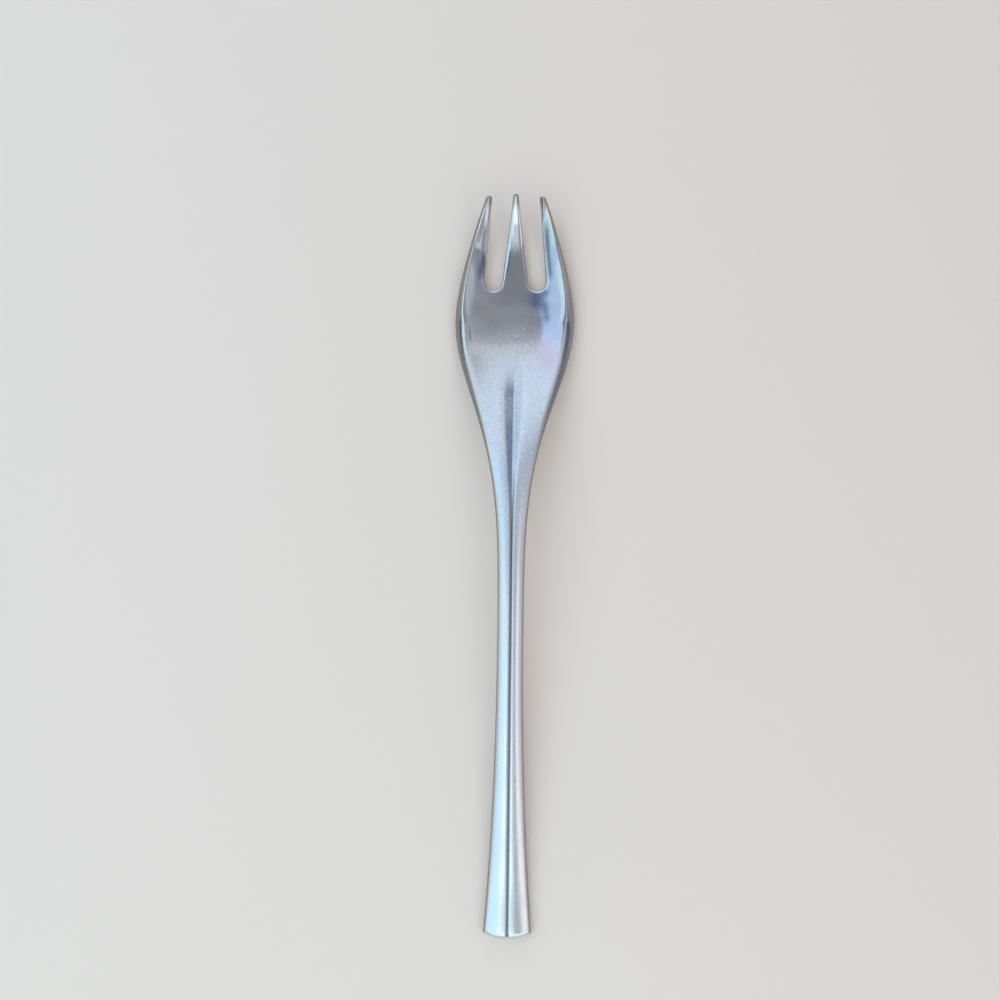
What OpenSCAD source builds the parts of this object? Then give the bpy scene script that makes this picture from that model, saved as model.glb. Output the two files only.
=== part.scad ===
// Three-tined salad fork, forged from one blank of stainless steel.
// It lies on its back along Y, tines towards +Y, and rests on z = 0.
// The forging is given as sections that meet face to face: tines, bowl, neck and handle.

/* [Overall] */
// Length from the handle's end to the tine tips
fork_length = 162; // [150:1:180]

/* [Handle] */
// Width of the handle at its end
end_width = 10.7; // [8:0.1:13]
// Thickness of the handle at its end, beside the groove
end_thick = 3; // [2.6:0.1:3.6]
// Fall of the front where the end is rounded over
end_round = 1.4; // [0.8:0.1:1.6]
// Length of handle over which the end is rounded over in front
end_over = 1.9; // [1.5:0.1:2.5]
// Radius that rounds the end over at the back
heel_round = 0.5; // [0.2:0.1:0.7]
// Radius of the end's two corners
end_corner = 0.7; // [0.4:0.1:1.2]
// How far the middle of the end stands out past its corners
end_bow = 1.1; // [0:0.1:1.4]
// Length of the end section, which rests on the table
end_length = 14; // [10:1:20]
// Width of the handle at its narrowest place
waist_width = 5.7; // [5.2:0.1:7]
// Thickness of the handle at its narrowest place
waist_thick = 4; // [3.2:0.1:5]
// Distance of the narrowest place from the handle's end
waist_from_end = 66; // [60:1:78]
// Fall of the handle's front from beside the groove to its edges
handle_crown = 0.9; // [0.4:0.1:1.2]
// Width of the sloping side wall along the handle
handle_edge = 0.45; // [0.35:0.05:1.1]

/* [Groove] */
// Width of the groove along the handle
groove_width = 0.8; // [0.6:0.1:2]
// Width of the groove where it starts, on the neck
groove_flare = 4.6; // [3:0.1:7]
// Depth of the groove along the handle
groove_depth = 0.45; // [0.2:0.05:0.6]
// Depth of the groove where it starts, on the neck
groove_start_depth = 0.75; // [0.4:0.05:1.1]
// Distance of the groove's start from the tine tips
groove_from_tips = 37; // [35:1:46]
// Distance of the place where the groove narrows to its handle width from the tine tips
groove_narrow_from_tips = 78; // [70:1:84]
// Length over which the groove starts
groove_fade = 6; // [3:1:12]
// Depth of the notch that the groove leaves in the handle's end
end_notch = 0.5; // [0:0.1:0.8]

/* [Neck] */
// Height of the back above the table at the top of the arch
neck_height = 8; // [5:0.5:12]
// Distance of the top of the arch from the tine tips
neck_from_tips = 62; // [58:1:70]

/* [Bowl] */
// Greatest width of the bowl
bowl_width = 25.9; // [22:0.1:30]
// Thickness of the bowl in its middle
bowl_thick = 2; // [1.6:0.1:2.6]
// Rise of the bowl's front from its middle to its sides
bowl_depth = 2.4; // [1.5:0.1:3]
// Width of the sloping side wall of the bowl
bowl_edge = 2; // [1.2:0.1:2.6]
// Distance of the widest place from the tine tips
bowl_from_tips = 27; // [26:0.1:32]
// Distance of the place where the bowl rests from the tine tips
belly_from_tips = 26; // [24:0.5:30]
// Distance of the place where the dish starts from the tine tips
dish_from_tips = 50; // [44:1:54]

/* [Tines] */
// Length of the slots between the tines
slot_length = 20.5; // [16:0.1:22]
// Width of a slot at its round root
slot_width = 3.9; // [3:0.1:4.4]
// Distance between the middles of the two slot roots
slot_spacing = 9.5; // [8.4:0.1:10.5]
// Distance between neighbouring tine tips
tip_spacing = 5.6; // [5:0.1:7]
// Width of a tine at its tip
tip_width = 1.1; // [0.8:0.1:1.6]
// Thickness of a tine at its tip
tip_thick = 1.1; // [0.8:0.1:1.6]
// Height of the tips' underside above the table
tip_rise = 6; // [3:0.5:9]
// How far the outer tips stay behind the middle one
tip_setback = 0.5; // [0:0.1:1.5]
// Rise of the outer tips above the middle one, left over from the dish
tip_dish = 0.7; // [0:0.1:1.2]
// Radius that rounds the tines' edges along the slots
tine_edge = 0.4; // [0.2:0.05:0.5]

/* [Hidden] */

// Places along the fork, measured from the handle's end
waist_at = waist_from_end;
neck_at = fork_length - neck_from_tips;
groove_at = fork_length - groove_from_tips;
groove_narrow_at = fork_length - groove_narrow_from_tips;
dish_at = fork_length - dish_from_tips;
bowl_at = fork_length - bowl_from_tips;
belly_at = fork_length - belly_from_tips;
root_at = fork_length - slot_length + slot_width / 2;

// The back dips this far below the table, and is cut flat there
rest_cut = 0.05;
// Exponents of the outline: handle's flare, neck's spread, bowl's closing and taper to the tips
flare_power = 2.1;
neck_power = 3.9;
bowl_power = 2.4;
taper_power = 1.45;
// Exponents of the cross-section: the dish in front and the hull behind
dish_power = 2.6;
hull_power = 2.2;
// Exponent of the tines' upward curve
rise_power = 2.2;
// Share of the handle's rise that is rounded at each end, the rest being straight
ramp_round = 0.07;
// Share of the handle's half width that stays level beside the groove
lobe_flat = 0.2;
// Height of the widest line, as a share of the section's own height
wide_line = 0.5;
// Height of the narrow band along the widest line
edge_band = 0.2;
// Exponent of the side wall's narrowing towards the tips
wall_power = 0.5;
// How much of the side wall is a straight slope, the rest being a quarter round
wall_straight = 0.7;
// Most of a tine's width that one of its rounded or sloping sides takes
side_share = 0.4;
// Radius left on a slot's edge at the root, where the tine meets the bowl
root_edge = 0.05;
// Angle at which the round of a tine tip stops, which leaves a small flat
tip_angle = 20;
// Spacing of the cross-sections, and of the points across them
handle_step = 4;
head_step = 2;
round_steps = 4;
front_columns = 6;
tine_columns = 4;
wall_angles = [30, 60, 90];
slot_angles = [0, 30, 60];
steel = [0.72, 0.74, 0.77];
smooth = 64;
far = 100;

function mix(a, b, t) = a + (b - a) * t;
function unit(v, low, high) = min(1, max(0, (v - low) / (high - low)));
function ease(t) = t * t * t * (t * (6 * t - 15) + 10);
// A straight rise from 0 to 1, rounded at both ends
function bend(t) = pow(max(0, t), 2);
function straight_ramp(t) =
    (bend(t) - bend(t - ramp_round) - bend(t - 1 + ramp_round)) / (2 * ramp_round * (1 - ramp_round));
// A power from 0 to 1 that starts with a finite curve
function soft_power(t, p, c = 0.12) =
    (pow(t * t + c * c, p / 2) - pow(c, p)) / (pow(1 + c * c, p / 2) - pow(c, p));
// How far a round of radius r has cut in at distance d from the face
function round_cut(d, r) = d >= r ? 0 : r - sqrt(r * r - pow(r - max(0, d), 2));
function reversed(list) = [for (i = [len(list) - 1 : -1 : 0]) list[i]];

// Outline

function half_width(s) =
    s < waist_at
        ? mix(waist_width, end_width, soft_power(1 - s / waist_at, flare_power)) / 2
          - round_cut(s, end_corner)
    : s < bowl_at
        ? mix(waist_width, bowl_width,
              1 - pow(1 - pow(unit(s, waist_at, bowl_at), neck_power), bowl_power)) / 2
    : mix(bowl_width / 2, tip_spacing + tip_width / 2,
          soft_power(unit(s, bowl_at, fork_length), taper_power));
function along_tine(s) = unit(s, root_at, fork_length);
function middle_half(s) = mix((slot_spacing - slot_width) / 2, tip_width / 2, along_tine(s));
function outer_inside(s) =
    mix((slot_spacing + slot_width) / 2, tip_spacing - tip_width / 2, along_tine(s));
function wall_width(s) =
    s < bowl_at
        ? mix(handle_edge, bowl_edge, ease(unit(s, neck_at, bowl_at)))
        : mix(bowl_edge, side_share * tip_width, pow(unit(s, bowl_at, fork_length), wall_power));
// Rounding of the slots' edges: it grows from the root, and a thin tine limits it
function slot_round(s, width) =
    min(mix(root_edge, tine_edge, ease(unit(s, root_at, root_at + slot_width / 2))),
        side_share * width);
function middle_round(s) = slot_round(s, 2 * middle_half(s));
function outer_round(s) = slot_round(s, half_width(s) - outer_inside(s));

// Profile seen from the side

function base_line(s) =
    (s < neck_at ? neck_height * straight_ramp(unit(s, end_length / 2, neck_at))
     : s < belly_at ? neck_height * (1 - ease(unit(s, neck_at, belly_at)))
     : tip_rise * pow(unit(s, belly_at, fork_length), rise_power)) - rest_cut;
function back_line(s) = base_line(s) + round_cut(s, heel_round);
function thickness(s) =
    s < waist_at ? mix(end_thick, waist_thick, ease(s / waist_at))
    : s < bowl_at ? mix(waist_thick, bowl_thick, ease(unit(s, waist_at, bowl_at)))
    : mix(bowl_thick, tip_thick, ease(unit(s, bowl_at, fork_length)));
function end_fall(s) = end_round * round_cut(s / end_over, 1);
function front_line(s) = base_line(s) + thickness(s) - end_fall(s);
function dish(s) =
    s < bowl_at ? bowl_depth * ease(unit(s, dish_at, bowl_at))
    : mix(bowl_depth, tip_dish, ease(unit(s, bowl_at, fork_length)));
function crown(s) = handle_crown * (1 - ease(unit(s, neck_at, groove_at)));
function groove_half(s) =
    mix(groove_width, groove_flare, ease(unit(s, groove_narrow_at, groove_at))) / 2;
function groove_fall(s) =
    mix(groove_depth, groove_start_depth, ease(unit(s, groove_narrow_at, groove_at - groove_fade)))
    * (1 - unit(s, groove_at - groove_fade, groove_at));
// The groove is a V: 1 at its bottom, 0 at its shoulders
function groove_shape(x, s) = max(0, 1 - abs(x) / groove_half(s));
function groove(x, s) = groove_fall(s) * groove_shape(x, s);

// Front and back faces

function face_height(x, s) =
    let (r = abs(x) / half_width(s), lobe = pow(unit(r, lobe_flat, 1), 2))
    front_line(s) + dish(s) * pow(r, dish_power) - crown(s) * lobe - groove(x, s);
function rim_height(s) = face_height(half_width(s) - wall_width(s), s);
function wide_height(s) = mix(back_line(s), rim_height(s), wide_line);
function wall_fall(t) = wall_straight * t + (1 - wall_straight) * (1 - sqrt(max(0, 1 - t * t)));
function front(x, s) =
    let (over = abs(x) - half_width(s) + wall_width(s), low = wide_height(s) + edge_band / 2)
    over <= 0 ? face_height(x, s)
    : mix(rim_height(s), low, wall_fall(min(1, over / wall_width(s))));
function back(x, s) =
    let (r = min(1, abs(x) / half_width(s)), high = wide_height(s) - edge_band / 2)
    mix(high, back_line(s), pow(1 - pow(r, hull_power), 1 / hull_power));

// Points across a section, from left to right

function wall_columns(s) = [for (a = wall_angles) half_width(s) - wall_width(s) * (1 - sin(a))];
function half_columns(s) =
    let (first = groove_half(s), last = half_width(s) - wall_width(s))
    concat([for (i = [0 : front_columns]) mix(first, last, i / front_columns)], wall_columns(s));
function whole_columns(s) =
    concat([for (x = reversed(half_columns(s))) -x], [0], half_columns(s));
// The columns crowd together where a slot's edge is rounded
function slot_columns(edge, r) = [for (a = slot_angles) edge + r * (1 - cos(a))];
function outer_columns(s) =
    let (inside = outer_inside(s), r = outer_round(s), last = half_width(s) - wall_width(s))
    concat(slot_columns(inside, r),
           [for (i = [0 : tine_columns]) mix(inside + r, last, i / tine_columns)],
           wall_columns(s));
function middle_columns(s) =
    let (r = middle_round(s), side = slot_columns(-middle_half(s), r), first = r - middle_half(s))
    concat(side, [for (i = [0 : 2 * tine_columns]) mix(first, -first, i / tine_columns / 2)],
           [for (x = reversed(side)) -x]);
function outer_slot_cut(x, s) = round_cut(x - outer_inside(s), outer_round(s));
function middle_slot_cut(x, s) = round_cut(middle_half(s) - abs(x), middle_round(s));

// Evenly spaced places from one section to another
function places(from, to, step) =
    let (n = max(2, ceil((to - from) / step)))
    [for (i = [0 : n]) mix(from, to, i / n)];
function lengthwise(s) = s - fork_length / 2;

// A closed skin over rows of front and back points, one row of each per section
module skin(front_rows, back_rows) {
    rows = len(front_rows);
    columns = len(front_rows[0]);
    last = rows - 1;
    side = columns - 1;
    function f(i, k) = i * columns + k;
    function b(i, k) = (rows + i) * columns + k;
    // Two triangles from four corners, clockwise seen from outside
    function quad(p, q, r, t) = [[p, q, r], [p, r, t]];
    quads = concat(
        [for (i = [0 : last - 1], k = [0 : side - 1])
            quad(f(i, k), f(i + 1, k), f(i + 1, k + 1), f(i, k + 1))],
        [for (i = [0 : last - 1], k = [0 : side - 1])
            quad(b(i, k), b(i, k + 1), b(i + 1, k + 1), b(i + 1, k))],
        [for (i = [0 : last - 1]) quad(f(i, 0), b(i, 0), b(i + 1, 0), f(i + 1, 0))],
        [for (i = [0 : last - 1]) quad(f(i, side), f(i + 1, side), b(i + 1, side), b(i, side))],
        [for (k = [0 : side - 1]) quad(f(0, k), f(0, k + 1), b(0, k + 1), b(0, k))],
        [for (k = [0 : side - 1]) quad(f(last, k), b(last, k), b(last, k + 1), f(last, k + 1))]);
    points = concat([for (row = front_rows) each row], [for (row = back_rows) each row]);
    polyhedron(points, [for (q = quads) each q], convexity = 6);
}

// A stretch of the fork over its whole width
module stretch(from, to, step) {
    at = places(from, to, step);
    skin([for (s = at) [for (x = whole_columns(s)) [x, lengthwise(s), front(x, s)]]],
         [for (s = at) [for (x = whole_columns(s)) [x, lengthwise(s), back(x, s)]]]);
}

// One tine: its sections shrink to a round tip over the last half width
module tine(columns, slot_cut, tip_at) {
    tip_radius = tip_width / 2;
    angles = [for (i = [1 : round_steps]) mix(90, tip_angle, i / round_steps)];
    straight = places(root_at, tip_at - tip_radius * cos(tip_angle), head_step);
    at = concat(straight, [for (a = angles) tip_at - tip_radius * (cos(tip_angle) - cos(a))]);
    shrink = concat([for (s = straight) 1], [for (a = angles) sin(a)]);
    function row(i, is_front) =
        let (s = at[i], xs = columns(s), c = (xs[0] + xs[len(xs) - 1]) / 2,
             z = (front(c, s) + back(c, s)) / 2)
        [for (x = xs)
            let (cut = slot_cut(x, s), face = is_front ? front(x, s) - cut : back(x, s) + cut)
            [mix(c, x, shrink[i]), lengthwise(s), mix(z, face, shrink[i])]];
    skin([for (i = [0 : len(at) - 1]) row(i, true)], [for (i = [0 : len(at) - 1]) row(i, false)]);
}

// Takes away whatever would reach below the table
module rest_flat() {
    difference() {
        children();
        translate([-far, -far, -far]) cube([2 * far, 2 * far, far]);
    }
}

module left_tine() {
    color(steel) mirror([1, 0, 0]) outer_tine();
}

module middle_tine() {
    color(steel) tine(function(s) middle_columns(s), function(x, s) middle_slot_cut(x, s), fork_length);
}

module right_tine() {
    color(steel) outer_tine();
}

module outer_tine() {
    tine(function(s) outer_columns(s), function(x, s) outer_slot_cut(x, s), fork_length - tip_setback);
}

// The slots end in half rounds, cut straight down through the bowl's edge
module bowl() {
    color(steel) rest_flat() difference() {
        stretch(groove_at, root_at, head_step);
        for (side = [-1, 1])
            translate([side * slot_spacing / 2, lengthwise(root_at), -far])
                cylinder(h = 2 * far, d = slot_width, $fn = smooth);
    }
}

module neck() {
    color(steel) stretch(neck_at, groove_at, head_step);
}

module handle() {
    color(steel) stretch(end_length, neck_at, handle_step);
}

// The end is rounded over in front, its lip is bowed out and notched, and its back lies on the table
module handle_end() {
    round_places = [for (i = [0 : round_steps]) end_over * (1 - cos(90 * i / round_steps))];
    plain_places = places(end_over, end_length, handle_step);
    at = concat(round_places, [for (s = plain_places) if (s > end_over) s]);
    function bowed(x, s) =
        lengthwise(s) + (end_bow * pow(x / half_width(s), 2) + end_notch * groove_shape(x, s))
                        * (1 - unit(s, 0, end_over));
    color(steel) rest_flat()
        skin([for (s = at) [for (x = whole_columns(s)) [x, bowed(x, s), front(x, s)]]],
             [for (s = at) [for (x = whole_columns(s)) [x, bowed(x, s), back(x, s)]]]);
}

left_tine();
middle_tine();
right_tine();
bowl();
neck();
handle();
handle_end();
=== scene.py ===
# %% [markdown]
# # A three-tined salad fork in satin stainless steel
# The fork is one forging: three tines, a shallow bowl, a neck and a long waisted handle with a groove.
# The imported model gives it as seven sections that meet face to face. This lesson draws one smooth skin over
# the whole fork, cuts the skin into those seven sections, gives it a worn steel finish, and looks at it
# from above.

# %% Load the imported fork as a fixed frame
import bpy
import numpy as np
from mathutils import Matrix, Quaternion, Vector


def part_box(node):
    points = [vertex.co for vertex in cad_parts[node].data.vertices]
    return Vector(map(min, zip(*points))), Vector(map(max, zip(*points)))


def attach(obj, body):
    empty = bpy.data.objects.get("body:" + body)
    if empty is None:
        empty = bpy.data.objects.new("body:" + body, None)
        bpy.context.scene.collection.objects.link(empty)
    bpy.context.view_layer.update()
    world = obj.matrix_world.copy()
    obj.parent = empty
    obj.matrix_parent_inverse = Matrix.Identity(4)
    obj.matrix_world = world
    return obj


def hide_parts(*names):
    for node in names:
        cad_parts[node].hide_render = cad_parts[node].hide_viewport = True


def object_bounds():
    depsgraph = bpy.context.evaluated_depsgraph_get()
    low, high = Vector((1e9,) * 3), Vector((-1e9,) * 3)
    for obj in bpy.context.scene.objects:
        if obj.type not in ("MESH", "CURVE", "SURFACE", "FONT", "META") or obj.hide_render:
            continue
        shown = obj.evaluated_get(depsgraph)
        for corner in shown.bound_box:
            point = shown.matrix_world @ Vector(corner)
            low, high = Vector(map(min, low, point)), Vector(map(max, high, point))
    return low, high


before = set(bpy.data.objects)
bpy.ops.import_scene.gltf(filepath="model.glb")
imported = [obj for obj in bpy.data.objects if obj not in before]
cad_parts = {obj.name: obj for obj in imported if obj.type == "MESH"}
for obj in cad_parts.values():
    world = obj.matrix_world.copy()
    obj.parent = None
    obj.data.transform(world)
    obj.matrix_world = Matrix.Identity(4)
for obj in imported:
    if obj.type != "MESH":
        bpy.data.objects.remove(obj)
cad_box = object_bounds()
print("sections:", sorted(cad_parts))

# %% [markdown]
# ## Sizes
# Everything is worked out in millimetres, along a station that starts at the handle's end and grows towards
# the tips. The length, the width and the planes where the sections meet are read from the frame, so the skin
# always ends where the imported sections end. The other sizes are those of the forging itself.

# %% Read the frame's planes
MM = 0.001
low_corner, high_corner = (np.array(corner) / MM for corner in cad_box)
fork_length = high_corner[1] - low_corner[1]
bowl_width = high_corner[0] - low_corner[0]


def section_end(node):
    """Station of the plane where a section ends, towards the tips."""
    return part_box(node)[1].y / MM - low_corner[1]


end_length = section_end("handle_end")
neck_at = section_end("handle")
groove_at = section_end("neck")
root_at = section_end("bowl")
print("length", round(fork_length, 2), "planes", np.round([end_length, neck_at, groove_at, root_at], 2))

# %% Sizes of the forging in millimetres
# The flared end, which is rounded over
end_width, end_thick = 10.7, 3.0
end_round, end_over, end_bow = 1.4, 1.9, 1.1
heel_round, end_corner, end_notch = 0.5, 0.7, 0.5
# The waisted handle, its crown and its groove
waist_width, waist_thick, waist_at = 5.7, 4.0, 66.0
handle_crown, handle_edge, lobe_flat = 0.9, 0.45, 0.2
groove_width, groove_depth = 0.8, 0.45
groove_flare, groove_start_depth = 4.6, 0.75
groove_fade, groove_narrow_at = 6.0, fork_length - 78.0
# The arched neck and the dished bowl
neck_height = 8.0
bowl_thick, bowl_depth, bowl_edge = 2.0, 2.4, 2.0
bowl_at, belly_at, dish_at = fork_length - 27.0, fork_length - 26.0, fork_length - 50.0
# The slots and the tines
slot_width, slot_spacing = 3.9, 9.5
tip_spacing, tip_width, tip_thick = 5.6, 1.1, 1.1
tip_rise, tip_dish, tip_setback, tine_edge = 6.0, 0.7, 0.5, 0.4
print("widths: end", end_width, "waist", waist_width, "bowl", round(bowl_width, 1))

# %% [markdown]
# ## The outline
# Seen from above, the fork flares at its end, narrows to a waist, opens into the bowl and closes to the tips.
# A traced curve would need dozens of points. Three short power laws that meet at the waist and at the widest
# place follow the same line, and stay smooth however closely they are sampled.

# %% Helpers that blend and round
def mix(a, b, t):
    return a + (b - a) * t


def unit(value, start, stop):
    """How far a value has come from start to stop, kept between 0 and 1."""
    return np.clip((value - start) / (stop - start), 0, 1)


def ease(t):
    """A step from 0 to 1 whose slope and curve start and end at nothing."""
    return t ** 3 * (t * (6 * t - 15) + 10)


def soft_power(t, power, soft=0.12):
    """A power from 0 to 1 that starts with a gentle curve."""
    start = soft ** power
    return ((t * t + soft ** 2) ** (power / 2) - start) / ((1 + soft ** 2) ** (power / 2) - start)


def round_cut(gap, radius):
    """How much a rounded edge has fallen away at this distance from the face that it meets."""
    inside = np.clip(gap, 0, radius)
    return radius - np.sqrt(radius ** 2 - (radius - inside) ** 2)


print("a 1 mm round falls", round(float(round_cut(0.5, 1)), 3), "mm, half a millimetre from its edge")

# %% The outline's half width
flare_power, neck_power, bowl_power, taper_power = 2.1, 3.9, 2.4, 1.45


def half_width(s):
    flare = soft_power(np.clip(1 - s / waist_at, 0, 1), flare_power)
    handle = mix(waist_width, end_width, flare) / 2 - round_cut(s, end_corner)
    opening = 1 - (1 - unit(s, waist_at, bowl_at) ** neck_power) ** bowl_power
    neck = mix(waist_width, bowl_width, opening) / 2
    taper = soft_power(unit(s, bowl_at, fork_length), taper_power)
    tines = mix(bowl_width / 2, tip_spacing + tip_width / 2, taper)
    return np.where(s < waist_at, handle, np.where(s < bowl_at, neck, tines))


print("half widths:", np.round(half_width(np.array([1.0, waist_at, neck_at, bowl_at, root_at])), 2))

# %% The slots between the tines
def slot_inside(s):
    """Half the width of the middle tine, where a slot begins."""
    return mix((slot_spacing - slot_width) / 2, tip_width / 2, unit(s, root_at, fork_length))


def slot_outside(s):
    """Where a slot ends, at the inner side of an outer tine."""
    return mix((slot_spacing + slot_width) / 2, tip_spacing - tip_width / 2, unit(s, root_at, fork_length))


def into_metal(x, s):
    """Distance from the nearest slot's edge: a round below the root, two slanted sides above it."""
    below = np.hypot(np.abs(x) - slot_spacing / 2, s - root_at) - slot_width / 2
    beside = np.maximum(slot_inside(s) - np.abs(x), np.abs(x) - slot_outside(s))
    return np.where(s < root_at, below, beside)


print("slot at the tips:", round(float(slot_outside(fork_length) - slot_inside(fork_length)), 2), "mm wide")

# %% [markdown]
# ## The side view
# The fork rests on its end and on the bowl's belly, and arches between them. The tines sweep up again.
# These lines give the height of the back and the thickness above it. The steel is thickest at the waist and
# thinnest at the tips, as a forged fork is.

# %% Heights along the fork
rise_power, ramp_round = 2.2, 0.07
floor_dip = 0.05


def straight_ramp(t):
    """A straight rise from 0 to 1, rounded at both ends."""
    late = np.clip(t - ramp_round, 0, None) ** 2 + np.clip(t - 1 + ramp_round, 0, None) ** 2
    return (t ** 2 - late) / (2 * ramp_round * (1 - ramp_round))


def base_line(s):
    arch = neck_height * straight_ramp(unit(s, end_length / 2, neck_at))
    fall = neck_height * (1 - ease(unit(s, neck_at, belly_at)))
    sweep = tip_rise * unit(s, belly_at, fork_length) ** rise_power
    return np.where(s < neck_at, arch, np.where(s < belly_at, fall, sweep)) - floor_dip


def back_line(s):
    return base_line(s) + round_cut(s, heel_round)


def thickness(s):
    handle = mix(end_thick, waist_thick, ease(unit(s, 0, waist_at)))
    neck = mix(waist_thick, bowl_thick, ease(unit(s, waist_at, bowl_at)))
    tines = mix(bowl_thick, tip_thick, ease(unit(s, bowl_at, fork_length)))
    return np.where(s < waist_at, handle, np.where(s < bowl_at, neck, tines))


def front_line(s):
    return base_line(s) + thickness(s) - end_round * round_cut(s / end_over, 1)


print("top of the arch:", round(float(front_line(neck_at)), 2), "mm above the floor")

# %% [markdown]
# ## The cross-section
# Across, the handle is crowned with a V groove along its middle, and the bowl is dished. Both fall to a
# sloping side wall, and the back is a rounded hull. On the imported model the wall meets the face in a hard
# line. A polished fork has a soft crest there, so a smooth minimum of the two surfaces rounds it, and the
# slots' edges get a wide round in front and a small one behind.

# %% The face with its dish and groove
dish_power = 2.6
groove_softness, flare_softness = 0.15, 0.6


def smooth_min(a, b, width):
    """The lower of two surfaces, with a round of this height where they cross."""
    near = np.clip(width - np.abs(a - b), 0, None)
    return np.minimum(a, b) - near ** 2 / width / 4


def dish(s):
    bowl = bowl_depth * ease(unit(s, dish_at, bowl_at))
    return np.where(s < bowl_at, bowl, mix(bowl_depth, tip_dish, ease(unit(s, bowl_at, fork_length))))


def groove_half(s):
    """Half the groove's width, which opens into a wedge towards the bowl."""
    return mix(groove_width, groove_flare, ease(unit(s, groove_narrow_at, groove_at))) / 2


def groove(x, s):
    softness = mix(groove_softness, flare_softness, ease(unit(s, groove_narrow_at, groove_at)))
    start = unit(s, groove_at - groove_fade, groove_at)
    deepened = ease(unit(s, groove_narrow_at, groove_at - groove_fade))
    depth = mix(groove_depth, groove_start_depth, deepened)
    return -depth * (1 - start) * smooth_min(np.abs(x) / groove_half(s) - 1, 0, softness)


def face_height(x, s):
    across = np.abs(x) / half_width(s)
    crown = handle_crown * (1 - ease(unit(s, neck_at, groove_at)))
    lobe = unit(across, lobe_flat, 1) ** 2
    return front_line(s) + dish(s) * across ** dish_power - crown * lobe - groove(x, s)


print("groove at the waist:", round(float(groove(0.0, waist_at)), 2), "mm deep")

# %% Side walls, slot edges and the back
hull_power, wall_power, tip_side_share = 2.2, 0.5, 0.4
wide_line, edge_band, wall_straight, crest_softness = 0.5, 0.2, 0.7, 0.35
outer_pillow, middle_pillow, pillow_fall = 0.55, 0.3, 0.5


def wall_width(s):
    body = mix(handle_edge, bowl_edge, ease(unit(s, neck_at, bowl_at)))
    narrowed = unit(s, bowl_at, fork_length) ** wall_power
    return np.where(s < bowl_at, body, mix(bowl_edge, tip_side_share * tip_width, narrowed))


def rim_place(s):
    return half_width(s) - wall_width(s)


def wide_height(s):
    """Height of the band where the fork is widest."""
    return mix(back_line(s), face_height(rim_place(s), s), wide_line)


def slot_fall(x, s):
    """How far the front falls beside a slot: a small round at the root, a wide pillow along the tine."""
    is_outer = np.abs(x) > (slot_inside(s) + slot_outside(s)) / 2
    outer_tine, middle_tine = half_width(s) - slot_outside(s), slot_inside(s) * 2
    pillow = np.where(is_outer, outer_pillow * outer_tine, middle_pillow * middle_tine)
    grown = ease(unit(s, root_at - slot_width / 2, root_at + 2 * slot_width))
    reach = mix(tine_edge, pillow, grown)
    return mix(tine_edge, pillow_fall, grown) * round_cut(into_metal(x, s) / reach, 1)


def front_height(x, s):
    over = (np.abs(x) - rim_place(s)) / wall_width(s)
    quarter = 1 - np.sqrt(1 - np.clip(over, 0, 1) ** 2)
    fall = wall_straight * over + (1 - wall_straight) * quarter
    wall = mix(face_height(rim_place(s), s), wide_height(s) + edge_band / 2, fall)
    face = smooth_min(face_height(x, s), wall, crest_softness * wall_width(s))
    return face - slot_fall(x, s)


def back_height(x, s):
    across = np.clip(np.abs(x) / half_width(s), 0, 1)
    hull = (1 - across ** hull_power) ** (1 / hull_power)
    back = mix(wide_height(s) - edge_band / 2, back_line(s), hull)
    return np.maximum(back + round_cut(into_metal(x, s), tine_edge), 0)


bowl_steel = front_height(0.0, bowl_at) - back_height(0.0, bowl_at)
print("steel in the bowl:", round(float(bowl_steel), 2), "mm thick")

# %% [markdown]
# ## A plan of cells
# The skin is a plan of four-sided cells that is lifted to the front height and again to the back height.
# Columns run the whole length of the fork in lanes: the middle tine, the slot, the outer tine and the side
# wall. In the slot's lane the rows bend to follow the round root, so the slot needs no cutting and leaves no
# ragged faces. Columns crowd at the lanes' borders, where the edges are rounded.

# %% Columns of the plan
LANE_STEPS = {"middle": 12, "slot": 16, "outer": 14, "wall": 12}


def spread(steps):
    """Shares from 0 to 1 that crowd at both ends."""
    return (1 - np.cos(np.linspace(0, np.pi, steps + 1))) / 2


def half_columns(s):
    """Columns from the middle to the right edge, one row of them for each station."""
    grow = half_width(np.minimum(s, root_at)) / half_width(root_at)
    borders = [0 * s, slot_inside(s) * grow, slot_outside(s) * grow, rim_place(s), half_width(s)]
    lanes = [mix(start[:, None], stop[:, None], spread(steps)[:-1])
             for start, stop, steps in zip(borders, borders[1:], LANE_STEPS.values())]
    return np.hstack([*lanes, borders[-1][:, None]])


def whole_columns(s):
    right = half_columns(s)
    return np.hstack([-right[:, :0:-1], right])


print("columns:", whole_columns(np.array([waist_at])).shape[1])

# %% Rows of the plan
QUARTER = np.pi / 2
ROUND_STEPS = 10
END_ROW, HANDLE_ROW, NECK_ROW, BOWL_ROW, TINE_ROW = 1.2, 1.5, 0.8, 0.7, 0.5
tip_radius, tip_stop = tip_width / 2, np.radians(8)
root_zone = 2 * tine_edge


def places(start, stop, step):
    """Evenly spaced stations, at most one step apart."""
    return np.linspace(start, stop, int(np.ceil((stop - start) / step)) + 1)


turn = np.linspace(0, QUARTER, ROUND_STEPS)
body_rows = {
    "handle_end": np.append(end_over * (1 - np.cos(turn)), places(end_over, end_length, END_ROW)[1:]),
    "handle": places(end_length, neck_at, HANDLE_ROW),
    "neck": places(neck_at, groove_at, NECK_ROW),
    "bowl": np.append(places(groove_at, root_at - root_zone, BOWL_ROW),
                      root_at - root_zone * (1 - np.sin(turn[1:]))),
}
tip_turn = np.linspace(QUARTER, tip_stop, ROUND_STEPS)


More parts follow.
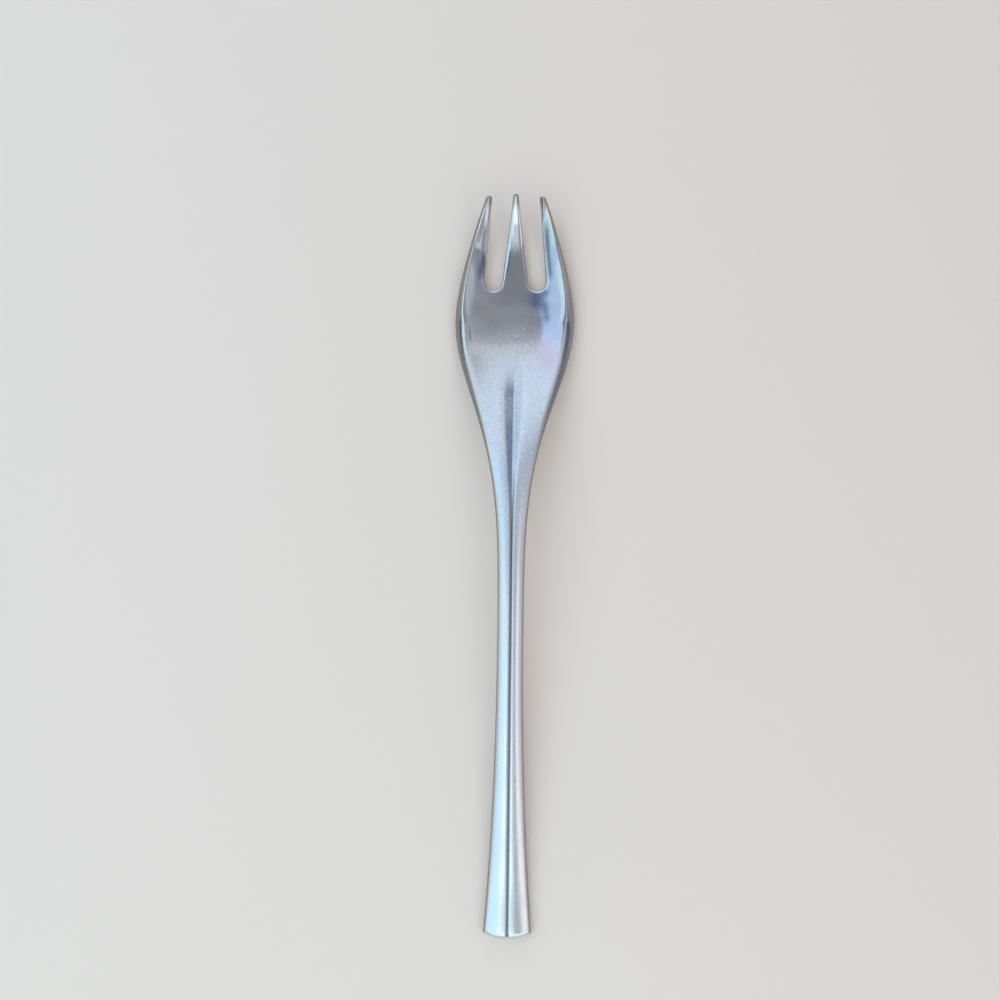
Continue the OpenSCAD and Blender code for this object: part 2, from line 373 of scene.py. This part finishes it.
def tine_rows(tip_at):
    """Stations along a tine, and how much its sections shrink to the round tip."""
    straight = places(root_at, tip_at - tip_radius * np.cos(tip_stop), TINE_ROW)
    rounded = tip_at - tip_radius * (np.cos(tip_stop) - np.cos(tip_turn[1:]))
    return np.append(straight, rounded), np.append(np.ones(len(straight)), np.sin(tip_turn[1:]))


print({name: len(rows) for name, rows in body_rows.items()}, "tine rows", len(tine_rows(fork_length)[0]))

# %% Lift the handle, neck and bowl
points, cells = [], {}


def add_points(x, s, shrink):
    """Front and back points of a grid, with its sections drawn in towards their middles at a tip."""
    middle = (x[:, :1] + x[:, -1:]) / 2
    centre = (front_height(middle, s[:, :1]) + back_height(middle, s[:, :1])) / 2
    notch = end_notch * np.clip(1 - np.abs(x) / (groove_width / 2), 0, 1)
    bow = (end_bow * (x / half_width(s)) ** 2 + notch) * (1 - unit(s, 0, end_over))
    grid = [mix(middle, x, shrink), s + bow - fork_length / 2,
            mix(centre, front_height(x, s), shrink), mix(centre, back_height(x, s), shrink)]
    first = sum(map(len, points))
    points.append(np.stack(grid, axis=-1).reshape(-1, 4))
    return first + np.arange(x.size).reshape(x.shape)


def add_cells(name, ids):
    corners = [ids[:-1, :-1], ids[:-1, 1:], ids[1:, 1:], ids[1:, :-1]]
    cells[name] = np.stack(corners, axis=-1).reshape(-1, 4)


nominal = np.concatenate([rows if name == "handle_end" else rows[1:] for name, rows in body_rows.items()])
body_x = whole_columns(nominal)
from_slot_middle = np.abs(body_x[-1]) - slot_spacing / 2
root_dip = np.sqrt(np.clip((slot_width / 2) ** 2 - from_slot_middle ** 2, 0, None))
body_s = nominal[:, None] - root_dip * unit(nominal, groove_at, root_at)[:, None]
body_ids = add_points(body_x, body_s, 1)
first_row = 0
for name, rows in body_rows.items():
    last_row = first_row + len(rows) - 1
    add_cells(name, body_ids[first_row:last_row + 1])
    first_row = last_row
print("body grid:", body_ids.shape)

# %% Lift the tines
centre_column = body_x.shape[1] // 2
outer_start = LANE_STEPS["middle"] + LANE_STEPS["slot"]
tine_lanes = {
    "left_tine": slice(0, centre_column - outer_start + 1),
    "middle_tine": slice(centre_column - LANE_STEPS["middle"], centre_column + LANE_STEPS["middle"] + 1),
    "right_tine": slice(centre_column + outer_start, None),
}
for name, lane in tine_lanes.items():
    rows, shrink = tine_rows(fork_length - tip_setback * (name != "middle_tine"))
    x = whole_columns(rows)[:, lane]
    s = np.repeat(rows[:, None], x.shape[1], axis=1)
    ids = add_points(x[1:], s[1:], shrink[1:, None])
    add_cells(name, np.vstack([body_ids[-1:, lane], ids]))

plan = np.concatenate(points)
count = len(plan)
front_points, back_points = plan[:, [0, 1, 2]], plan[:, [0, 1, 3]]
skin_points = np.vstack([front_points, back_points])
print(count, "plan points,", sum(map(len, cells.values())), "cells")

# %% [markdown]
# ## Fit to the frame and close the skin
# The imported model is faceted, so its box is a hair smaller than the smooth laws. The skin is scaled to that
# box, by a few thousandths at most. Then each section's cells become front faces, back faces and walls round
# their border. Vertex normals are taken from the whole fork, and each section keeps them at its cut ends, so
# light runs across the joins as it does on a single forging.

# %% Fit the skin and take the whole fork's normals
skin_low, skin_high = skin_points.min(axis=0), skin_points.max(axis=0)
skin_points = low_corner + (skin_points - skin_low) * (high_corner - low_corner) / (skin_high - skin_low)
print("fit:", np.round((high_corner - low_corner) / (skin_high - skin_low), 5))


def border_edges(quads):
    """Edges that only one cell uses, with that cell on their left."""
    edges = {(int(a), int(b)) for quad in quads for a, b in zip(quad, np.roll(quad, -1))}
    return [(a, b) for a, b in sorted(edges) if (b, a) not in edges]


def closed_faces(quads):
    """Front faces, back faces and border walls of some cells, and the border's edges."""
    borders = border_edges(quads)
    walls = [(b, a, a + count, b + count) for a, b in borders]
    return quads.tolist() + (quads[:, ::-1] + count).tolist() + walls, borders


whole_faces, whole_borders = closed_faces(np.vstack(list(cells.values())))
whole_mesh = bpy.data.meshes.new("whole_fork")
whole_mesh.from_pydata(skin_points * MM, [], whole_faces)
smooth_normals = np.array([normal.vector for normal in whole_mesh.vertex_normals])
bpy.data.meshes.remove(whole_mesh)
outside_edges = set(whole_borders)
print(len(whole_faces), "faces on the whole fork")

# %% Seven closed sections
def make_section(name, quads):
    """One section as a closed mesh: smooth outside, flat where it was cut from its neighbour."""
    faces, borders = closed_faces(quads)
    used, renumbered = np.unique(np.array(faces), return_inverse=True)
    corner_normals = smooth_normals[np.array(faces)]
    for index, edge in enumerate(borders, start=len(faces) - len(borders)):
        if edge not in outside_edges:
            a, b, c = skin_points[np.array(faces[index][:3])]
            corner_normals[index] = np.cross(b - a, c - a)
    mesh = bpy.data.meshes.new(name)
    mesh.from_pydata(skin_points[used] * MM, [], renumbered.reshape(-1, 4).tolist())
    mesh.shade_smooth()
    lengths = np.linalg.norm(corner_normals, axis=2, keepdims=True)
    mesh.normals_split_custom_set((corner_normals / lengths).reshape(-1, 3).tolist())
    section = bpy.data.objects.new(f"steel_{name}", mesh)
    bpy.context.scene.collection.objects.link(section)
    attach(section, "root")
    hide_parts(name)
    return section, used


sections = {name: make_section(name, quads) for name, quads in cells.items()}
print({name: len(section.data.polygons) for name, (section, used) in sections.items()})

# %% [markdown]
# ## Where the finish changes
# One steel covers the fork, but its face isn't the same all over. Washing and stacking rub the edges that
# stick out, the handle and neck are ground to a satin and the bowl is polished. Light and shade are painted in
# as well: highlights on the rubbed edges, a lighter sheen on the satin, shade on the side walls, in the groove
# and along the tines' inner sides, and reflection tints on the bowl. This could be painted by hand. Instead a
# few rules give a value to every point, and the finish reads them, so it follows the shape from any side and
# needs no painted picture.

# %% Worn edges with painted highlights, and scuffs
crest_wear_and_highlight, slot_wear_and_highlight, scuff_all_over = 0.35, 0.45, 0.12
bowl_scuff, bowl_scuff_size = (0.0, groove_at + 5), (7.0, 5.0)
tine_scuff, tine_scuff_size = (0.0, fork_length - 11), (1.5, 3.0)


def station(points):
    """How far each point is from the handle's end."""
    return points[:, 1] + fork_length / 2


def spot(distance, width):
    """1 at no distance, fading softly over this width."""
    return np.exp(-(distance / width) ** 2)


def patch(points, middle, size):
    """A soft oval patch round a place on the fork."""
    return spot(points[:, 0] - middle[0], size[0]) * spot(station(points) - middle[1], size[1])


def exposure(points):
    """1 on the rim's crest and the slots' edges: rubbed most, and painted lighter as a highlight."""
    x, s = points[:, 0], station(points)
    crest = spot(np.abs(x) - rim_place(s), crest_wear_and_highlight)
    return np.maximum(crest, spot(np.clip(into_metal(x, s), 0, None), slot_wear_and_highlight))


def scuff(points):
    """Where the fork is scratched most: low in the bowl, on the middle tine, and a little everywhere."""
    bowl, tine = patch(points, bowl_scuff, bowl_scuff_size), patch(points, tine_scuff, tine_scuff_size)
    return np.clip(bowl + tine + scuff_all_over, 0, 1)


print("rim at the bowl:", round(float(rim_place(bowl_at)), 2), "mm from the middle")

# %% Satin and polished faces
satin_stops, polish_starts = groove_at - 3, groove_at + 8
handle_grain, flank_core = 0.25, 0.7


def satin(points):
    """1 on the ground and buffed neck and handle, 0 in the polished bowl."""
    return 1 - ease(unit(station(points), satin_stops, polish_starts))


def grainy(points):
    """How coarse the satin is: 1 on the neck, falling along the handle, which hands have smoothed."""
    coarse = ease(unit(station(points), waist_at, neck_at))
    return satin(points) * mix(handle_grain, 1, coarse)


def in_groove(points):
    """1 between the groove's flanks, 0 on the faces beside it."""
    x, s = points[:, 0], station(points)
    within = ease(unit(np.abs(x), groove_half(s), flank_core * groove_half(s)))
    return within * (1 - unit(s, groove_at - groove_fade, groove_at))


def blurred(points):
    """1 on the neck's coarse satin faces. The groove keeps the smoother face that its die gave it."""
    coarse = ease(unit(station(points), waist_at, neck_at))
    return satin(points) * coarse * (1 - in_groove(points))


print("satin fades from", round(satin_stops, 1), "to", round(polish_starts, 1), "mm from the handle's end")

# %% Painted shade and painted reflection tints
shaded_wall_share, shaded_tip_starts, shaded_tip_full = 0.5, fork_length - 4, fork_length - 1
bottom_dark, bottom_edge, bottom_core = 0.5, 0.95 * groove_width / 2, 0.3 * groove_width / 2
flank_dark = 0.25
hollow_inset, hollow_width = 1.0, 0.55
hollow_starts, hollow_full = root_at - 1, root_at + 3
hollow_fades, hollow_stops = fork_length - 9, fork_length - 4
violet_patch, violet_size = (7.5, bowl_at - 7), (2.0, 4.0)
straw_patch, straw_size = (-8.5, bowl_at), (2.5, 9.0)


def side(points):
    """1 on the side walls and the very tips, which are painted darker as shade."""
    x, s = points[:, 0], station(points)
    wall = ease(unit(np.abs(x), rim_place(s), mix(rim_place(s), half_width(s), shaded_wall_share)))
    return np.maximum(wall, ease(unit(s, shaded_tip_starts, shaded_tip_full)))


def recess(points):
    """Above 0 in the groove and along the outer tines' inner sides, which are painted darker as shade."""
    x, s = points[:, 0], station(points)
    bottom = bottom_dark * ease(unit(np.abs(x), bottom_edge, bottom_core))
    opened = ease(unit(s, groove_narrow_at, neck_at))
    hollow = spot(np.abs(x) - slot_outside(s) - hollow_inset, hollow_width)
    hollow = hollow * ease(unit(s, hollow_starts, hollow_full)) * ease(unit(s, hollow_stops, hollow_fades))
    return np.maximum(mix(bottom, flank_dark * in_groove(points), opened), hollow)


def heat_tint(points):
    """Painted reflection tints on the bowl: above 0 a violet one on its right, below 0 a straw one on its
    left.
    """
    return patch(points, violet_patch, violet_size) - patch(points, straw_patch, straw_size)


RULES = {rule.__name__: rule for rule in (exposure, satin, grainy, blurred, side, scuff, recess, heat_tint)}
for name, rule in RULES.items():
    values = rule(skin_points)
    for section, used in sections.values():
        layer = section.data.attributes.new(name, "FLOAT", "POINT")
        layer.data.foreach_set("value", values[used])
    print(name, "mean", round(float(values.mean()), 3))

# %% [markdown]
# ## The steel
# Stainless cutlery steel, ground lengthwise and buffed to a satin sheen. The buffing leaves faint lines along
# the fork, use adds short fine scratches, and handling leaves a cloudy film. To the eye that is a grey mirror
# that blurs what it reflects, most where it is ground. The pattern could be a picture, but noise in real
# millimetres stays sharp at any distance and needs no unwrapping.

# %% Helpers for colours and nodes
def linear(hex_colour):
    """An sRGB hex colour as the linear colour that shaders work in."""
    parts = [int(hex_colour[i:i + 2], 16) / 255 for i in (1, 3, 5)]
    return [*(p / 12.92 if p <= 0.04045 else ((p + 0.055) / 1.055) ** 2.4 for p in parts), 1]


def add_node(tree, kind, inputs=None, **settings):
    """Adds a node, sets its properties, and fills each input with a value or a link."""
    node = tree.nodes.new(kind)
    for name, value in settings.items():
        setattr(node, name, value)
    for name, value in (inputs or {}).items():
        if isinstance(value, bpy.types.NodeSocket):
            tree.links.new(value, node.inputs[name])
        else:
            node.inputs[name].default_value = value
    return node


print("half-bright grey in linear light:", np.round(linear("#808080")[0], 3))

# %% Patterns of the satin stainless steel
LINE_WIDTH, LINE_LENGTH = 0.3 * MM, 12 * MM
GRAIN_SIZE, FILM_SIZE, WAVE_SIZE = 0.3 * MM, 9 * MM, 8 * MM
steel = bpy.data.materials.new("satin_stainless_steel")
steel.use_nodes = True
tree = steel.node_tree
shader = tree.nodes["Principled BSDF"]
shader.inputs["Metallic"].default_value = 1
place = add_node(tree, "ShaderNodeTexCoord").outputs["Object"]
share = {name: add_node(tree, "ShaderNodeAttribute", attribute_name=name).outputs["Fac"] for name in RULES}
# Buffing lines are 0.02 mm wide on the real fork. They are drawn 0.3 mm wide so that they show.
line_scale = (1 / LINE_WIDTH, 1 / LINE_LENGTH, 1 / LINE_WIDTH)
lines = add_node(tree, "ShaderNodeMapping", {"Vector": place, "Scale": line_scale})
line_noise = add_node(tree, "ShaderNodeTexNoise", {"Vector": lines.outputs[0], "Scale": 1, "Detail": 2})
# The satin's grain is about 0.05 mm. It is drawn 0.3 mm coarse so that it shows.
grain = add_node(tree, "ShaderNodeTexNoise", {"Vector": place, "Scale": 1 / GRAIN_SIZE, "Detail": 2})
# A cloudy film in patches of about 9 mm
film = add_node(tree, "ShaderNodeTexNoise", {"Vector": place, "Scale": 1 / FILM_SIZE, "Detail": 3})
# Forging and polishing leave the bowl uneven by a few hundredths of a millimetre, in waves of about 8 mm.
waves = add_node(tree, "ShaderNodeTexNoise", {"Vector": place, "Scale": 1 / WAVE_SIZE, "Detail": 1})
print("patterns:", [node.name for node in (line_noise, grain, film, waves)])

# %% Short scratches in three slanting directions
# A real scratch is a few hundredths of a millimetre wide. These are drawn 0.2 by 0.9 mm so that they show.
SCRATCH_SLANTS = (-50, -15, 40)
SCRATCH_WIDTH, SCRATCH_LENGTH = 0.2 * MM, 0.9 * MM
scratch_scale = (1 / SCRATCH_WIDTH, 1 / SCRATCH_LENGTH, 1 / SCRATCH_LENGTH)
scratches = None
for slant in SCRATCH_SLANTS:
    turned = add_node(tree, "ShaderNodeMapping", {"Vector": place, "Rotation": (0, 0, np.radians(slant))})
    stretched = add_node(tree, "ShaderNodeMapping", {"Vector": turned.outputs[0], "Scale": scratch_scale})
    streaks = add_node(tree, "ShaderNodeTexNoise", {"Vector": stretched.outputs[0], "Scale": 1, "Detail": 1})
    cut = add_node(tree, "ShaderNodeMapRange",
                   {"Value": streaks.outputs[0], "From Min": 0.66, "From Max": 0.78}).outputs[0]
    scratches = cut if scratches is None else add_node(
        tree, "ShaderNodeMath", {0: scratches, 1: cut}, operation="MAXIMUM").outputs[0]
# Scratches where the fork is scuffed; below they are painted near white as bright glints.
glinting_scratches = add_node(tree, "ShaderNodeMath", {0: scratches, 1: share["scuff"]}, operation="MULTIPLY")
print("scratch directions:", len(SCRATCH_SLANTS))

# %% Colour of the steel
film_tint = add_node(tree, "ShaderNodeMix", {0: film.outputs[0], 6: linear("#b5b9bd"), 7: linear("#c3c5c9")},
                     data_type="RGBA")
# A satin face scatters light from all round, so it is painted lighter than the polished bowl as a sheen, and
# speckled.
speckle = add_node(tree, "ShaderNodeMapRange",
                   {"Value": grain.outputs[0], "From Min": 0.35, "From Max": 0.65})
speckled = add_node(tree, "ShaderNodeMix",
                    {0: speckle.outputs[0], 6: linear("#cacfd4"), 7: linear("#e3e8ed")}, data_type="RGBA")
satin_sheen = add_node(tree, "ShaderNodeMix",
                      {0: share["grainy"], 6: linear("#d8dde2"), 7: speckled.outputs[2]}, data_type="RGBA")
satin_tint = add_node(tree, "ShaderNodeMix",
                      {0: share["satin"], 6: film_tint.outputs[2], 7: satin_sheen.outputs[2]},
                      data_type="RGBA")
violet = add_node(tree, "ShaderNodeMapRange", {"Value": share["heat_tint"], "To Max": 0.85})
straw = add_node(tree, "ShaderNodeMapRange", {"Value": share["heat_tint"], "From Max": -1, "To Max": 0.6})
# Over that lie painted reflection tints, rubbed edges painted lighter as highlights, side walls and recesses
# painted darker as shade, and scratches painted as bright glints.
overlays = ((violet.outputs[0], "#d9bfce"), (straw.outputs[0], "#c0bcae"), (share["exposure"], "#d8d4ce"),
            (share["side"], "#9a9794"), (share["recess"], "#656d7b"), (glinting_scratches.outputs[0], "#fafbfc"))
tone = satin_tint.outputs[2]
for amount, colour in overlays:
    overlay = add_node(tree, "ShaderNodeMix", {0: amount, 6: tone, 7: linear(colour)}, data_type="RGBA")
    tone = overlay.outputs[2]
tree.links.new(tone, shader.inputs["Base Color"])
print("colours laid over the satin:", len(overlays))

# %% Blur of the steel
# The polished bowl mirrors sharply where its film is thin. Grinding and rubbing add to the blur.
CLEAR_BLUR, CLOUDY_BLUR = 0.08, 0.15
ADDED_BLUR = {"satin": 0.15, "blurred": 0.12, "exposure": 0.04}
polished = add_node(tree, "ShaderNodeMapRange", {"Value": film.outputs[0], "From Min": 0.3, "From Max": 0.7,
                                                 "To Min": CLEAR_BLUR, "To Max": CLOUDY_BLUR})
blur = polished.outputs[0]
for name, amount in ADDED_BLUR.items():
    blur = add_node(tree, "ShaderNodeMath", {0: share[name], 1: amount, 2: blur},
                    operation="MULTIPLY_ADD").outputs[0]
tree.links.new(blur, shader.inputs["Roughness"])
print("most blur:", round(CLOUDY_BLUR + sum(ADDED_BLUR.values()), 2))

# %% Relief of the steel
WAVE_DEPTH, LINE_DEPTH, GRAIN_DEPTH = 0.24 * MM, 0.004 * MM, 0.045 * MM
wave_share = add_node(tree, "ShaderNodeMapRange", {"Value": share["satin"], "To Min": 1, "To Max": 0.2})
wave_height = add_node(tree, "ShaderNodeMath", {0: waves.outputs[0], 1: wave_share.outputs[0]},
                       operation="MULTIPLY")
grain_share = add_node(tree, "ShaderNodeMapRange", {"Value": share["grainy"], "To Min": 0.06, "To Max": 1})
grain_height = add_node(tree, "ShaderNodeMath", {0: grain.outputs[0], 1: grain_share.outputs[0]},
                        operation="MULTIPLY")
wave_bump = add_node(tree, "ShaderNodeBump", {"Height": wave_height.outputs[0], "Distance": WAVE_DEPTH})
line_bump = add_node(tree, "ShaderNodeBump", {"Height": line_noise.outputs[0], "Distance": LINE_DEPTH,
                                              "Normal": wave_bump.outputs[0]})
grain_bump = add_node(tree, "ShaderNodeBump", {"Height": grain_height.outputs[0], "Distance": GRAIN_DEPTH,
                                               "Normal": line_bump.outputs[0]})
for bump in (wave_bump, line_bump, grain_bump):
    bump.inputs["Strength"].default_value = 1
tree.links.new(grain_bump.outputs[0], shader.inputs["Normal"])
for section, used in sections.values():
    section.data.materials.append(steel)
print("steel nodes:", len(tree.nodes))

# %% [markdown]
# ## The floor
# A pale floor takes the fork's soft shadow and stays out of the way. A backdrop that curves up could be used,
# but seen from above a wide flat sheet is enough. Matt paint scatters light evenly, so no lamp shows in it.
# The lamps are cool, so the paint is a warm white that comes out as a neutral pale grey.

# %% Pale floor
FLOOR_HALF = 3.0
FLOOR_CORNERS = ((-1, -1), (1, -1), (1, 1), (-1, 1))
floor_mesh = bpy.data.meshes.new("floor")
floor_mesh.from_pydata([(x, y, 0) for x, y in FLOOR_CORNERS], [], [(0, 1, 2, 3)])
floor = bpy.data.objects.new("floor", floor_mesh)
floor.scale = (FLOOR_HALF, FLOOR_HALF, 1)
bpy.context.scene.collection.objects.link(floor)
matt_paint = bpy.data.materials.new("pale_matt_paint")
matt_paint.use_nodes = True
paint_shader = matt_paint.node_tree.nodes["Principled BSDF"]
paint_shader.inputs["Base Color"].default_value = linear("#fbe9da")
paint_shader.inputs["Roughness"].default_value = 0.8
floor_mesh.materials.append(matt_paint)
print("floor:", 2 * FLOOR_HALF, "m wide")

# %% [markdown]
# ## The light
# Steel shows what is above it, so the light is a ceiling of plain soft panels, edge to edge. They are cool on
# the left and neutral on the right, dimmer over the bowl and lighter past the tips. A navy panel and two slate
# ones are nearly dark, and give the mirror its contrast. One big lamp would light the fork as well, but the
# bowl would then be one flat tone.

# %% Light panels over the bowl and the tips
PANEL_HEIGHT = 0.6


def panel(name, across, along, colour, radiance):
    """A lamp that faces straight down, as bright as a white card of this radiance.

    It reaches from the first to the second place across the fork and along it, in metres."""
    data = bpy.data.lights.new(name, "AREA")
    data.shape = "RECTANGLE"
    data.size, data.size_y = across[1] - across[0], along[1] - along[0]
    data.color = linear(colour)[:3]
    data.energy = np.pi * radiance * data.size * data.size_y
    lamp = bpy.data.objects.new(name, data)
    lamp.location = (sum(across) / 2, sum(along) / 2, PANEL_HEIGHT)
    bpy.context.scene.collection.objects.link(lamp)


panel("navy_panel", (-0.24, -0.08), (-0.07, 0.1), "#4a78d8", 0.3)
# Over the bowl the ceiling grows lighter in steps towards the tips.
panel("first_overhead_panel", (-0.08, 0.36), (-0.07, 0.1), "#dee5f0", 0.31)
for name, along, radiance in (("second", (0.1, 0.14), 0.42), ("third", (0.14, 0.19), 0.5),
                              ("fourth", (0.19, 0.25), 0.68)):
    panel(f"{name}_overhead_panel", (-0.16, 0.36), along, "#dee5f0", radiance)
panel("bowl_panel", (-0.16, 0.42), (0.25, 0.42), "#e4eaf2", 0.95)
panel("tip_panel", (-1.1, 0.24), (0.42, 0.56), "#dce8f6", 1.0)
panel("left_tip_panel", (-1.1, 0.0), (0.56, 1.1), "#cfe8ff", 1.05)
panel("right_tip_panel", (0.0, 0.24), (0.56, 1.1), "#dce6f4", 0.98)
print("lamps so far:", len(bpy.data.lights))

# %% Light panels on the left
panel("left_back_panel", (-1.2, -0.16), (0.25, 0.42), "#cde8ff", 1.2)
panel("blue_panel", (-0.4, -0.16), (0.1, 0.25), "#bad6ff", 1.35)
panel("blue_front_panel", (-0.4, -0.24), (-0.07, 0.1), "#bcd8fa", 1.2)
panel("left_middle_panel", (-1.3, -0.4), (-0.07, 0.25), "#ccf2ff", 1.35)
panel("left_panel", (-0.5, -0.34), (-0.52, -0.07), "#ccf4ff", 1.3)
panel("far_left_panel", (-1.4, -0.5), (-0.6, -0.07), "#d4e8ff", 1.1)
panel("left_front_panel", (-0.34, -0.15), (-0.52, -0.07), "#caf2ff", 1.25)
panel("end_panel", (-0.15, -0.03), (-0.6, -0.15), "#eafdff", 1.55)
panel("inner_end_panel", (-0.15, -0.03), (-0.15, -0.07), "#eafdff", 0.6)
print("lamps so far:", len(bpy.data.lights))

# %% Light panels in the middle, on the right and far away
panel("middle_panel", (-0.03, 0.04), (-0.6, -0.28), "#eafdff", 1.9)
panel("inner_middle_panel", (-0.03, 0.04), (-0.28, -0.12), "#eaf4ff", 0.95)
panel("tine_front_panel", (-0.03, 0.3), (-0.12, -0.07), "#e8e8ea", 0.6)
panel("right_panel", (0.04, 0.3), (-0.6, -0.12), "#e8e4e4", 0.43)
panel("right_edge_panel", (0.3, 0.62), (-0.6, -0.07), "#fff8f0", 1.15)
panel("far_right_panel", (0.62, 1.6), (-0.6, -0.1), "#fff4e6", 0.5)
panel("tine_panel", (0.36, 0.52), (-0.07, 0.17), "#f0efec", 0.65)
panel("slate_panel", (0.42, 0.7), (0.17, 0.42), "#6f94e8", 0.1)
panel("slate_back_panel", (0.24, 0.6), (0.42, 0.9), "#6f94e8", 0.1)
panel("low_front_panel", (-0.8, 0.8), (-2.0, -0.6), "#d8f2ff", 1.4)
panel("low_back_panel", (-1.2, 1.2), (1.1, 3.0), "#e4f0ff", 1.3)
print("lamps:", len(bpy.data.lights))

# %% [markdown]
# ## The surroundings
# Between the panels the steel mirrors a dim room, greyer on the left and bluer on the right. Low down, all
# round, stands a pale backdrop, which is seen behind the fork from the side and in its edges. It could be a
# wall, but a colour that depends only on the direction has no corners and no end.

# %% Dim room and pale backdrop
BACKDROP_FULL, BACKDROP_STOPS = 0.2, 0.3
world = bpy.data.worlds.new("studio")
world.use_nodes = True
sky = world.node_tree
direction = add_node(sky, "ShaderNodeTexCoord").outputs["Generated"]
parted = add_node(sky, "ShaderNodeSeparateXYZ", {0: direction}).outputs
rightness = add_node(sky, "ShaderNodeMapRange", {"Value": parted["X"], "From Min": 0.2, "From Max": 0.9})
room = add_node(sky, "ShaderNodeMix", {0: rightness.outputs[0], 6: linear("#66676a"), 7: linear("#8597b8")},
                data_type="RGBA")
lowness = add_node(sky, "ShaderNodeMapRange",
                   {"Value": parted["Z"], "From Min": BACKDROP_STOPS, "From Max": BACKDROP_FULL})
backdrop = add_node(sky, "ShaderNodeMix", {0: lowness.outputs[0], 6: room.outputs[2], 7: linear("#d6d6d6")},
                    data_type="RGBA")
sky.links.new(backdrop.outputs[2], sky.nodes["Background"].inputs["Color"])
bpy.context.scene.world = world
print("backdrop reaches", round(np.degrees(np.arcsin(BACKDROP_STOPS))), "degrees above the floor")

# %% [markdown]
# ## The camera
# The camera looks almost straight down from about 420 mm, well within arm's reach. It could track an empty
# object. Here its turn is worked out from where it stands and what it aims at, with a small roll, because the
# fork lies slightly turned in the square frame.

# %% Camera
camera_place = Vector((7.65, 16.0, 420.0)) * MM
camera_aim = Vector((-2.76, 14.9, 0.0)) * MM
frame_width, camera_roll = 219.2 * MM, np.radians(0.74)


def upright(backward):
    """The turn that points local Z along backward and keeps local Y along the fork."""
    rightward = Vector((0, 1, 0)).cross(backward).normalized()
    return Matrix((rightward, backward.cross(rightward), backward)).transposed().to_quaternion()


camera_data = bpy.data.cameras.new("camera")
camera_data.lens = camera_data.sensor_width * camera_place.z / frame_width
camera = bpy.data.objects.new("camera", camera_data)
camera.location = camera_place
camera.rotation_mode = "QUATERNION"
look = upright((camera_place - camera_aim).normalized())
camera.rotation_quaternion = look @ Quaternion((0, 0, 1), camera_roll)
bpy.context.scene.collection.objects.link(camera)
bpy.context.scene.camera = camera
bpy.context.scene.view_settings.view_transform = "Standard"
print("lens", round(camera_data.lens, 1), "mm")
